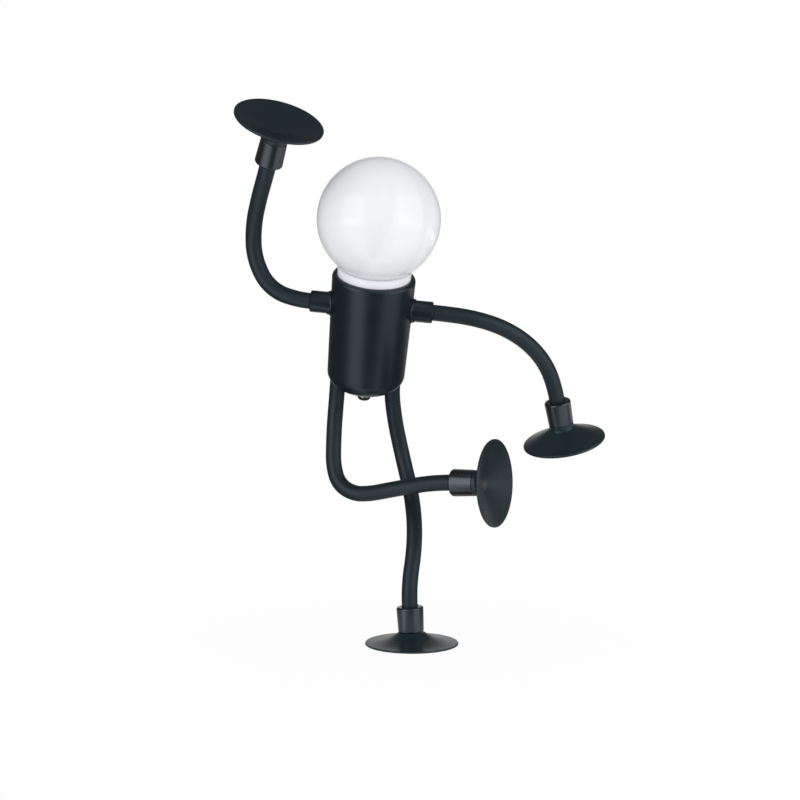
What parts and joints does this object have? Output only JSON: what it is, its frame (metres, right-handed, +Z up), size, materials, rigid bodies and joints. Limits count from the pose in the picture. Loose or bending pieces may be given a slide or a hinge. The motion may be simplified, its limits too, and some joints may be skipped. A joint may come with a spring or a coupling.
{
  "type": "night light",
  "caption": "Figure-shaped poseable night light: white globe head on a black cylindrical torso, with bendable gooseneck arms and legs that end in suction cups.",
  "frame": {"origin": "middle of the standing foot's suction face, on the table", "axes": "+Z up, +Y away from the viewer of the picture, +X to the viewer's right"},
  "size_m": [0.1836, 0.1103, 0.2667],
  "materials": {
    "black_abs": "satin",
    "opal_acrylic": "satin",
    "white_abs": "gloss",
    "black_silicone": "satin",
    "wound_steel": "brushed",
    "black_socket_plastic": "gloss",
    "black_rubber": "matte",
    "circuit_board": "satin",
    "light_board": "satin",
    "phosphor": "gloss",
    "chip_plastic": "matte",
    "cell_can": "satin",
    "cradle_plastic": "matte",
    "nickel_plate": "polished",
    "zinc_steel": "satin"
  },
  "bodies": {
    "torso": {"torso_shell": "black_abs", "globe_diffuser": "opal_acrylic", "neck_collar": "white_abs", "led_board": "light_board", "led_chips": "phosphor", "led_board_screws": "zinc_steel", "battery_cell": "cell_can", "battery_cradle": "cradle_plastic", "control_board": "circuit_board", "board_components": "chip_plastic", "usb_port": "nickel_plate", "switch_housing": "cradle_plastic", "switch_bushing": "nickel_plate", "switch_nut": "nickel_plate", "arm_lock_nuts": "zinc_steel", "leg_lock_rings": "zinc_steel", "raised_arm_collar": "black_abs", "lowered_arm_collar": "black_abs", "raised_arm_root_sleeve": "black_silicone", "raised_arm_root_core": "wound_steel", "lowered_arm_root_sleeve": "black_silicone", "lowered_arm_root_core": "wound_steel", "lifted_leg_root_sleeve": "black_silicone", "lifted_leg_root_core": "wound_steel", "standing_leg_root_sleeve": "black_silicone", "standing_leg_root_core": "wound_steel"},
    "button": {"switch_button": "black_abs"},
    "raised_arm_upper": {"raised_arm_upper_sleeve": "black_silicone", "raised_arm_upper_core": "wound_steel"},
    "raised_arm_lower": {"raised_arm_lower_sleeve": "black_silicone", "raised_arm_lower_core": "wound_steel"},
    "raised_arm_tip": {"raised_arm_tip_sleeve": "black_silicone", "raised_arm_tip_core": "wound_steel", "raised_hand_socket": "black_socket_plastic", "raised_hand_cup": "black_rubber"},
    "lowered_arm_upper": {"lowered_arm_upper_sleeve": "black_silicone", "lowered_arm_upper_core": "wound_steel"},
    "lowered_arm_lower": {"lowered_arm_lower_sleeve": "black_silicone", "lowered_arm_lower_core": "wound_steel"},
    "lowered_arm_tip": {"lowered_arm_tip_sleeve": "black_silicone", "lowered_arm_tip_core": "wound_steel", "lowered_hand_socket": "black_socket_plastic", "lowered_hand_cup": "black_rubber"},
    "lifted_leg_upper": {"lifted_leg_upper_sleeve": "black_silicone", "lifted_leg_upper_core": "wound_steel"},
    "lifted_leg_lower": {"lifted_leg_lower_sleeve": "black_silicone", "lifted_leg_lower_core": "wound_steel"},
    "lifted_leg_tip": {"lifted_leg_tip_sleeve": "black_silicone", "lifted_leg_tip_core": "wound_steel", "lifted_foot_socket": "black_socket_plastic", "lifted_foot_cup": "black_rubber"},
    "standing_leg_upper": {"standing_leg_upper_sleeve": "black_silicone", "standing_leg_upper_core": "wound_steel"},
    "standing_leg_lower": {"standing_leg_lower_sleeve": "black_silicone", "standing_leg_lower_core": "wound_steel"},
    "standing_leg_tip": {"standing_leg_tip_sleeve": "black_silicone", "standing_leg_tip_core": "wound_steel", "standing_foot_socket": "black_socket_plastic", "standing_foot_cup": "black_rubber"}
  },
  "joints": [
    {"name": "raised_arm_shoulder", "type": "hinge", "parent": "torso", "child": "raised_arm_upper", "pos_m": [-0.06275, 0.00012, 0.1744], "axis": [0.2768, -0.4451, 0.8516], "range_deg": [-50, 50]},
    {"name": "raised_arm_elbow", "type": "hinge", "parent": "raised_arm_upper", "child": "raised_arm_lower", "pos_m": [-0.07823, -0.00358, 0.2], "axis": [0.0065, 0.9272, 0.3745], "range_deg": [-45, 10]},
    {"name": "raised_arm_wrist", "type": "hinge", "parent": "raised_arm_lower", "child": "raised_arm_tip", "pos_m": [-0.07195, -0.02167, 0.22579], "axis": [-0.9535, -0.1414, 0.2661], "range_deg": [-45, 45]},
    {"name": "lowered_arm_shoulder", "type": "hinge", "parent": "torso", "child": "lowered_arm_upper", "pos_m": [0.02291, 0.00023, 0.16429], "axis": [0.1625, -0.4172, 0.8942], "range_deg": [-20, 50]},
    {"name": "lowered_arm_elbow", "type": "hinge", "parent": "lowered_arm_upper", "child": "lowered_arm_lower", "pos_m": [0.0526, 0.00766, 0.1546], "axis": [-0.2932, 0.9397, 0.1762], "range_deg": [-50, 25]},
    {"name": "lowered_arm_wrist", "type": "hinge", "parent": "lowered_arm_lower", "child": "lowered_arm_tip", "pos_m": [0.07191, 0.01989, 0.13239], "axis": [-0.9409, 0.158, -0.2996], "range_deg": [-45, 40]},
    {"name": "lifted_leg_hip", "type": "hinge", "parent": "torso", "child": "lifted_leg_upper", "pos_m": [-0.03921, 0.02201, 0.11477], "axis": [0.9962, -0.0009, -0.0873], "range_deg": [-45, 8]},
    {"name": "lifted_leg_knee", "type": "hinge", "parent": "lifted_leg_upper", "child": "lifted_leg_lower", "pos_m": [-0.03351, 0.01564, 0.07626], "axis": [-0.3486, -0.9135, 0.2095], "range_deg": [-40, 35]},
    {"name": "lifted_leg_ankle", "type": "hinge", "parent": "lifted_leg_lower", "child": "lifted_leg_tip", "pos_m": [0.00275, -0.00302, 0.07999], "axis": [-0.1643, 0.0856, 0.9827], "range_deg": [-45, 45]},
    {"name": "standing_leg_hip", "type": "hinge", "parent": "torso", "child": "standing_leg_upper", "pos_m": [-0.00968, 0.02181, 0.12101], "axis": [0.996, -0.0783, 0.0436], "range_deg": [-6, 40]},
    {"name": "standing_leg_knee", "type": "hinge", "parent": "standing_leg_upper", "child": "standing_leg_lower", "pos_m": [-0.00189, 0.02591, 0.0807], "axis": [-0.9747, -0.1341, -0.1786], "range_deg": [-45, 20]},
    {"name": "standing_leg_ankle", "type": "hinge", "parent": "standing_leg_lower", "child": "standing_leg_tip", "pos_m": [-0.00001, 0.00273, 0.03807], "axis": [-0.0431, 0.9613, -0.2722], "range_deg": [-40, 40]},
    {"name": "button_press", "type": "slide", "parent": "torso", "child": "button", "axis": [0.0869, -0.4226, 0.9021], "range_m": [0, 0.0018], "stiffness_N_per_m": 250, "springref_m": -0.0008}
  ]
}
